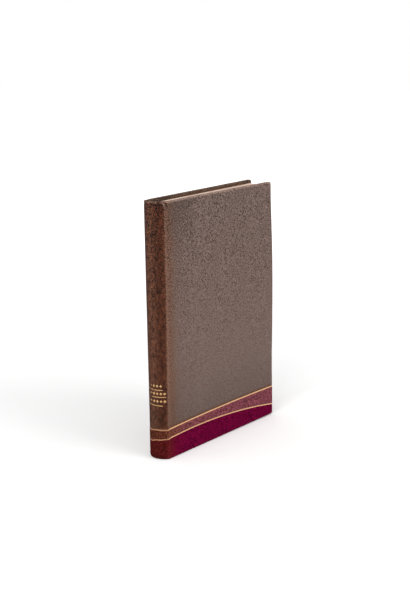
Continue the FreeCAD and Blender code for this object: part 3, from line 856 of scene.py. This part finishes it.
def leather():
    """Brown pebbled goatskin, browned by light on the spine and along the joints, with painted shade on the
    spine, painted highlights on the joint ridge and the headcap rim, and painted shadow along the upper gilt
    line, in the hole at the head of the joint and under the headcap.
    """
    paint = Paint("brown_leather")
    girth, high = paint.fact("spot")[:2]
    line_and_hole_shade, rub_and_highlight, inside = paint.fact("wear")[:3]
    rest = paint.fact("rest")[3]
    off = from_joints(paint, girth)
    drift = paint.times(paint.maths("SUBTRACT", paint.noise(rest, 0.09, 4.0), 0.5), 9.0)
    drift = paint.times(drift, paint.spread(off, 1.5, 6.0))
    nearer = paint.times(off, paint.spread(high, 25.0, 80.0, 0.72, 1.0))
    drift = paint.plus(drift, paint.spread(high, 110.0, 60.0, 0.0, 0.45))
    # the ramp holds a painted highlight on the joint ridge and painted shade on the spine
    colour = paint.ramp(paint.plus(paint.maths("MINIMUM", off, nearer), drift), BROWN_STOPS)
    # painted shade above the upper gilt line and in the hole at the head of the joint
    warm = paint.mix(paint.spread(line_and_hole_shade, 0.2, 1.0, 0.0, 0.85), colour, srgb(100, 62, 42))
    # rubbed edges and corners, with painted highlights on the headcap rim and the torn leather
    colour = paint.mix(paint.spread(rub_and_highlight, 0.2, 1.0, 0.0, 0.85), warm, srgb(150, 124, 110))
    # inner faces of the turn-ins take their own colour; painted shadow then darkens the hole at the head of
    # the joint and the fold under the headcap
    colour = paint.mix(paint.maths("MAXIMUM", inside, 0.0), colour, srgb(104, 82, 67))
    colour = paint.mix(paint.spread(inside, 0.0, -0.8), colour, srgb(40, 18, 10))
    clouds = paint.mottle(rest, 0.035, 3.0, 0.83, 0.89)
    low_shade = paint.spread(high, 23.0, 62.0, 0.87, 1.02)
    dark_head = paint.spread(high, 80.0, 188.0, kind="LINEAR")
    on_spine = paint.spread(off, -1.5, 0.0, 1.0, 0.0)
    streaks = paint.mottle(paint.scaled(rest, (1.0, 1.0, 0.5)), 0.55, 1.0, -0.4, 0.44)
    blotches = paint.plus(paint.mottle(rest, 0.22, 4.0, -0.16, 0.16), streaks)
    # painted light: the spine lighter past its middle, towards the back; it goes into clouds on the spine
    lit = paint.spread(girth, -ARC_LONG - 4.0, -ARC_LONG + 2.0, 0.12, 0.0)
    clouds = paint.plus(clouds, paint.times(paint.plus(blotches, lit), on_spine))
    height, crease = pebbles(paint, rest, 0.46)
    strength = paint.spread(high, 50.0, 185.0, 0.3, 1.38, "LINEAR")
    toned = paint.mottle(rest, 0.85, 0.0, -0.19, 0.29)
    creased = paint.spread(crease, 0.0, 1.0, 0.03, -0.1, "LINEAR")
    fleck = paint.mottle(rest, 1.7, 0.0, -0.24, 0.48)
    grain = paint.plus(paint.plus(toned, creased), fleck)
    rougher = paint.times(on_spine, paint.spread(high, 60.0, 165.0, 0.0, 1.3, "LINEAR"))
    grain = paint.maths("MULTIPLY_ADD", rougher, paint.maths("SUBTRACT", grain, 0.12), grain)
    hollows = paint.spread(grain, 0.1, -0.3, 0.0, 0.65, "LINEAR")
    hollows = paint.times(hollows, paint.spread(high, 45.0, 140.0, 0.4, 1.0, "LINEAR"))
    colour = paint.mix(hollows, colour, srgb(88, 58, 42))
    factor = paint.plus(clouds, paint.times(grain, strength))
    ruddy = paint.spread(paint.noise(rest, 0.6, 3.0), 0.48, 0.66, 0.0, 0.5)
    colour = paint.mix(paint.times(ruddy, on_spine), colour, srgb(66, 32, 24))
    by_joint = paint.times(paint.spread(off, 38.0, 20.0), paint.spread(off, 3.0, 13.0, 0.4, 1.0))
    by_joint = paint.times(by_joint, paint.spread(off, -0.8, 0.6))
    by_head = paint.spread(high, 145.0, 180.0, -0.04, -0.22)
    loss = paint.maths("MULTIPLY_ADD", on_spine, -0.05, -0.23)
    loss = paint.maths("MULTIPLY_ADD", by_joint, by_head, loss)
    head_loss = paint.times(dark_head, loss)
    shade = paint.maths("MULTIPLY_ADD", low_shade, head_loss, low_shade)
    kept = paint.times(paint.maths("SUBTRACT", 1.0, shade), paint.spread(rub_and_highlight, 0.2, 0.9))
    factor = paint.times(factor, paint.plus(shade, kept))
    fine = paint.noise(rest, 2.6, 3.0)
    paint.relief(paint.maths("MULTIPLY_ADD", fine, 0.35, paint.times(height, 0.65)), 0.16)
    roughness = paint.spread(height, 0.0, 1.0, 0.72, 0.56, "LINEAR")
    return paint.finish(paint.dim(colour, factor), roughness, Specular_IOR_Level=0.12)


def onlay(name, stops, contrast):
    """Thin dyed skin with a fine grain, browned over the spine."""
    paint = Paint(name)
    girth = paint.fact("spot")[0]
    rub_and_highlight = paint.fact("wear")[1]
    rest = paint.fact("rest")[3]
    off = from_joints(paint, girth)
    drift = paint.times(paint.maths("SUBTRACT", paint.noise(rest, 0.12, 3.0), 0.5), 6.0)
    drift = paint.times(drift, paint.spread(off, 1.0, 6.0))
    colour = paint.ramp(paint.plus(off, drift), stops)
    colour = paint.mix(paint.spread(rub_and_highlight, 0.3, 1.0, 0.0, 0.35), colour, srgb(140, 90, 84))
    height, crease = pebbles(paint, rest, 0.75)
    toned = paint.mottle(rest, 0.95, 0.0, -contrast, contrast)
    clouds = paint.mottle(rest, 0.16, 4.0, 0.92, 1.08)
    factor = paint.plus(clouds, paint.maths("MULTIPLY_ADD", crease, -0.3 * contrast, toned))
    fine = paint.noise(rest, 3.0, 3.0)
    paint.relief(paint.maths("MULTIPLY_ADD", fine, 0.4, paint.times(height, 0.6)), 0.08)
    return paint.finish(paint.dim(colour, factor), 0.6, Specular_IOR_Level=0.0)


def gilding(name, bright, deep, bare, faded):
    """Gold leaf, rubbed through to the leather here and there.

    bright holds its two tints, deep says how dull it is on the spine, bare is the leather under it,
    and faded how much of it is lost past the middle of the spine.
    """
    paint = Paint(name)
    rest = paint.fact("rest")[3]
    girth = paint.fact("spot")[0]
    dull = paint.spread(from_joints(paint, girth), -1.0, 1.5, deep, 0.0)
    small = paint.times(paint.noise(rest, 1.9, 2.0), 0.25)
    worn = paint.plus(paint.noise(rest, 0.33, 4.0), small)
    worn = paint.plus(worn, paint.spread(girth, -ARC_LONG - 3.4, -ARC_LONG - 1.4, faded, 0.0))
    leaf = paint.spread(worn, 0.4, 0.5)
    tint = paint.mix(paint.noise(rest, 0.12, 2.0), srgb(*bright[0]), srgb(*bright[1]))
    tint = paint.mix(dull, tint, srgb(158, 104, 78))
    colour = paint.mix(leaf, srgb(*bare), tint)
    paint.relief(paint.noise(rest, 2.2, 3.0), 0.05)
    roughness = paint.spread(leaf, 0.0, 1.0, 0.6, 0.38, "LINEAR")
    return paint.finish(colour, roughness, Metallic=paint.times(leaf, 0.85))


def paper(name, colour, darker, leaves=False):
    """Old paper with foxing; leaves gives every group of leaf edges its own tone, and painted shade near the
    spine, where the headcap and headband overhang.
    """
    paint = Paint(name)
    rest = paint.fact("rest")[3] if leaves else paint.object_place()
    mottle = paint.spread(paint.noise(rest, 0.06, 5.0), 0.35, 0.7)
    tone = paint.mix(mottle, srgb(*colour), srgb(*darker))
    factor = paint.mottle(rest, 1.4, 3.0, 0.96, 1.04)
    if leaves:
        number, along = paint.fact("spot")[:2]
        join = paint.node("CombineXYZ")
        paint.put(join.inputs[0], paint.times(number, 0.73))
        paint.put(join.inputs[1], paint.times(along, 0.03))
        factor = paint.times(factor, paint.mottle(join.outputs[0], 1.0, 1.0, 0.86, 1.08))
        # painted shade on the leaf edges near the spine, under the headcap and headband
        cap_shade = paint.spread(along, JOINT + 19.0, JOINT + 11.0)
        tone = paint.mix(cap_shade, tone, srgb(98, 66, 52))
    paint.relief(paint.noise(rest, 1.1, 4.0), 0.05)
    return paint.finish(paint.dim(tone, factor), 0.85, Specular_IOR_Level=0.2)


def woven(name, colour, darker, pitch):
    """Threads that cross, for the cloth, the cords and the silk."""
    paint = Paint(name)
    rest = paint.object_place()
    parts = paint.node("SeparateXYZ")
    paint.put(parts.inputs[0], rest)
    up = paint.maths("SINE", paint.times(parts.outputs[2], math.pi / pitch))
    over = paint.maths("SINE", paint.times(parts.outputs[1], math.pi / pitch))
    thread = paint.maths("MAXIMUM", paint.maths("ABSOLUTE", up), paint.maths("ABSOLUTE", over))
    tone = paint.mix(thread, srgb(*darker), srgb(*colour))
    factor = paint.mottle(rest, 0.8, 3.0, 0.92, 1.06)
    paint.relief(thread, 0.12)
    return paint.finish(paint.dim(tone, factor), 0.9, Specular_IOR_Level=0.2)


def silk():
    """Two colours of thread, changed every few turns."""
    paint = Paint("headband_silk")
    run = paint.fact("spot")[0]
    rest = paint.fact("rest")[3]
    change = paint.spread(paint.maths("SINE", paint.times(run, math.pi / 1.26)), -0.1, 0.1)
    tone = paint.mix(change, srgb(132, 62, 58), srgb(206, 178, 142))
    factor = paint.mottle(rest, 1.5, 3.0, 0.82, 1.05)
    paint.relief(paint.noise(rest, 3.0, 2.0), 0.04)
    return paint.finish(paint.dim(tone, factor), 0.5, Sheen_Weight=0.3)


def make_camera():
    forward = Vector((math.sin(YAW) * math.cos(PITCH), math.cos(YAW) * math.cos(PITCH), -math.sin(PITCH)))
    level_right = Vector((math.cos(YAW), -math.sin(YAW), 0.0))
    level_down = forward.cross(level_right)
    right = math.cos(ROLL) * level_right + math.sin(ROLL) * level_down
    down = -math.sin(ROLL) * level_right + math.cos(ROLL) * level_down
    data = bpy.data.cameras.new("camera")
    data.sensor_width = SENSOR
    data.lens = FOCAL_PX / IMAGE_H * SENSOR
    data.clip_start = 0.01
    camera = add_object("camera", data)
    turn = Matrix((right, -down, -forward)).transposed()
    camera.matrix_world = Matrix.Translation(CAMERA_AT) @ turn.to_4x4()
    bpy.context.scene.camera = camera


def make_lamp(name, place, size, power):
    """A large soft lamp that faces the book."""
    data = bpy.data.lights.new(name, "AREA")
    data.shape = "SQUARE"
    data.size = size
    data.energy = power
    lamp = add_object(name, data)
    lamp.location = place
    aim = Vector((0.0, 0.0, 0.09)) - Vector(place)
    lamp.rotation_euler = aim.to_track_quat("-Z", "Y").to_euler()


def make_surroundings():
    """A plain pale floor and a white world, plain to the camera and softer as a light."""
    mesh = bpy.data.meshes.new("floor")
    mesh.from_pydata([(-4, -4, 0), (4, -4, 0), (4, 4, 0), (-4, 4, 0)], [], [(0, 1, 2, 3)])
    floor = add_object("floor", mesh)
    paint = Paint("floor_paint")
    watched = paint.node("LightPath").outputs["Is Camera Ray"]
    away = paint.node("VectorMath", operation="LENGTH")
    paint.put(away.inputs[0], paint.node("TexCoord").outputs["Object"])
    pale = paint.spread(away.outputs["Value"], 0.1, 1.0, 1.15, 1.8)
    white = paint.mix(watched, (0.85, 0.85, 0.85, 1.0), pale)
    mesh.materials.append(paint.finish(white, 0.9, Specular_IOR_Level=0.0))
    world = bpy.data.worlds.new("world")
    bpy.context.scene.world = world
    world.use_nodes = True
    tree = world.node_tree
    background = tree.nodes["Background"]
    background.inputs["Color"].default_value = (1, 1, 1, 1)
    path = tree.nodes.new("ShaderNodeLightPath")
    seen = path.outputs["Is Camera Ray"]
    for name in ("Is Glossy Ray", "Is Transmission Ray"):
        either = tree.nodes.new("ShaderNodeMath")
        either.operation = "MAXIMUM"
        tree.links.new(seen, either.inputs[0])
        tree.links.new(path.outputs[name], either.inputs[1])
        seen = either.outputs[0]
    strength = tree.nodes.new("ShaderNodeMapRange")
    strength.inputs["To Min"].default_value = WORLD_LIGHT
    strength.inputs["To Max"].default_value = 1.0
    tree.links.new(seen, strength.inputs["Value"])
    tree.links.new(strength.outputs[0], background.inputs["Strength"])


make_camera()
make_surroundings()
make_lamp("key", (-1.5, -0.35, 1.25), 1.1, 15.0)
make_lamp("fill", (0.3, -1.7, 0.9), 1.2, 12.5)

# Colours by their distance in millimetres from the joint line, below 0 on the spine; the light band from 0.1
# to 0.5 is a painted highlight on the joint ridge, and the spine's darkening from its middle towards the
# joint is partly browned leather and partly painted shade
BROWN_STOPS = (
    (-11.4, (97, 62, 46)),
    (-8.0, (84, 50, 34)),
    (-5.0, (71, 36, 21)),
    (-2.6, (75, 38, 21)),
    (-0.95, (82, 47, 32)),
    (0.1, (121, 87, 70)),
    (0.5, (127, 93, 78)),
    (2.0, (117, 85, 70)),
    (4.5, (112, 82, 68)),
    (8.0, (113, 90, 80)),
    (14.0, (115, 95, 88)),
    (28.0, (117, 98, 91)),
)
PLUM_STOPS = (
    (-11.4, (92, 48, 36)),
    (-3.0, (88, 46, 33)),
    (0.0, (108, 64, 50)),
    (5.0, (117, 67, 57)),
    (14.0, (120, 66, 68)),
    (70.0, (124, 67, 76)),
)
CRIMSON_STOPS = (
    (-11.4, (82, 27, 25)),
    (-3.0, (77, 22, 22)),
    (0.0, (97, 29, 34)),
    (4.0, (101, 19, 38)),
    (8.0, (102, 12, 45)),
    (20.0, (102, 9, 49)),
)
gilt_line = gilding("gilt_line", ((234, 178, 130), (246, 198, 150)), 0.75, (120, 72, 52), 0.0)
gilt_panel = gilding("gilt_panel", ((232, 186, 124), (246, 204, 142)), 0.35, (92, 60, 44), -0.3)
paints = {
    BROWN: leather(),
    PLUM: onlay("plum_leather", PLUM_STOPS, 0.5),
    CRIMSON: onlay("crimson_leather", CRIMSON_STOPS, 0.42),
    LOWER_GILT: gilt_line,
    UPPER_GILT: gilt_line,
}
endpaper = paper("endpaper", (214, 196, 170), (203, 181, 152))
lining_paper = paper("lining_paper", (180, 158, 128), (160, 136, 106))
millboard = paper("millboard", (142, 128, 106), (120, 104, 84))
leaf_paint = paper("leaf_edge_paper", (234, 208, 192), (212, 180, 162), leaves=True)

halves = {
    "front": Half(-1, front_bow, UPPER, LOWER),
    "back": Half(1, back_bow, UPPER_BACK, LOWER_BACK),
}
skins = {side: covering(half) for side, half in halves.items()}
PARTS = (
    (BROWN, "cover_leather", "brown_leather", "sunned_leather"),
    (PLUM, "plum_onlay", "plum_leather", "browned_plum"),
    (CRIMSON, "crimson_onlay", "crimson_leather", "browned_crimson"),
    (LOWER_GILT, "lower_fillet", "gilt", "gilt"),
    (UPPER_GILT, "upper_fillet", "gilt", "gilt"),
)


def dress(piece, material, replaced=None):
    """Gives a piece its material and hides the solid that it replaces."""
    piece.data.materials.append(material)
    if replaced:
        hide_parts(replaced)


def cross_joint(piece):
    """Bakes a piece's transform into its mesh."""
    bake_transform(piece)


for kind, node, slot, browned in PARTS:
    for side in halves:
        piece = sheet_piece(f"{side}_{node}_skin", [skins[side]], faces_of(kind, True), SKIN_THICK)
        cross_joint(piece)
        dress(piece, paints[kind], f"{side}_{node}")
    name = "spine_leather" if kind == BROWN else f"spine_{node}"
    piece = sheet_piece(name + "_skin", list(skins.values()), faces_of(kind, False), SKIN_THICK)
    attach(piece, "book_block")
    dress(piece, paints[kind], name)

# Layers of a board: node, slot, material, margin inside the outline, depths and cut corners
LAYERS = (
    ("board", "board", millboard, 0.45, (0.36, 2.9), 2.6),
    ("board_lining", "lining_paper", lining_paper, TURNIN, (2.92, 3.3), 0.0),
    ("pastedown", "endpaper", endpaper, PASTE_MARGIN, (3.31, 3.45), 0.0),
)
for side, half in halves.items():
    for node, slot, material, margin, depths, cut in LAYERS:
        across, upward = (JOINT_GAP, WIDTH - margin), (TAIL + margin, HEAD - margin)
        piece = board_layer(f"{side}_{node}_layer", half, across, upward, depths, cut)
        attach(piece, f"{side}_cover")
        dress(piece, material, f"{side}_{node}")
    piece = inner_joint(f"{side}_inner_joint", half.side)
    cross_joint(piece)
    dress(piece, endpaper)

for node, stamped in (("spine_gilt_rules", spine_rules), ("spine_gilt_lozenges", spine_lozenges)):
    piece = sheet_piece(node + "_skin", stamped(halves["front"]), everything, 0.25)
    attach(piece, "book_block")
    dress(piece, gilt_panel, node)

edges = leaf_edges()
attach(edges, "book_block")
dress(edges, leaf_paint)

silk_paint = silk()
for name, middle in (("head_headband", TEXT_TOP + BAND_R), ("tail_headband", TEXT_FOOT - BAND_R)):
    piece = headband(name + "_wound", middle)
    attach(piece, "book_block")
    dress(piece, silk_paint, name)

# Materials of the solids that stay in sight; every other solid has a piece in its place
SOLID_PAINTS = {
    "flyleaf": endpaper,
    "text_block": paper("leaves", (222, 192, 172), (196, 164, 142)),
    "hollow": lining_paper,
    "stiffener": lining_paper,
    "mull": woven("mull_cloth", (206, 194, 168), (150, 134, 106), 0.7),
    "cord": woven("hemp", (184, 163, 128), (120, 98, 70), 0.5),
}
for name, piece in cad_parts.items():
    piece.data.materials.clear()
    found = [material for word, material in SOLID_PAINTS.items() if word in name]
    piece.data.materials.append(found[0] if found else millboard)

bpy.context.scene.view_settings.view_transform = "Standard"
